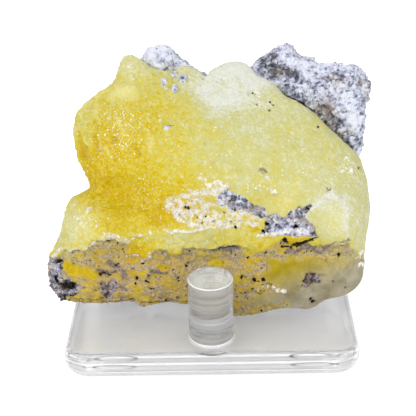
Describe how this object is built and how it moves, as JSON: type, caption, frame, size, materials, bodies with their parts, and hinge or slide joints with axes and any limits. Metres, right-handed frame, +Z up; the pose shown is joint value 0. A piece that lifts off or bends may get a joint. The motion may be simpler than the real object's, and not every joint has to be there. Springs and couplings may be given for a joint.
{
  "type": "mineral specimen on a display stand",
  "caption": "Rough lump of lemon-yellow brucite on grey matrix rock, leaning back in a clear acrylic stand made of a plate and round pegs; for display on a shelf.",
  "frame": {"origin": "centre of the stand plate's underside, on the surface that the stand rests on", "axes": "+Z up, +X to the viewer's right along the stone's width, +Y from the stone's face to its back"},
  "size_m": [0.0757, 0.055, 0.0624],
  "materials": {
    "acrylic": "clear, polished",
    "brucite": "translucent, waxy to pearly, fine grained",
    "matrix_rock": "rough, granular, dull"
  },
  "bodies": {
    "root": {"base_plate": "acrylic", "peg_front": "acrylic", "peg_rear_left": "acrylic", "peg_rear_right": "acrylic", "brucite": "brucite", "matrix": "matrix_rock"}
  },
  "joints": []
}
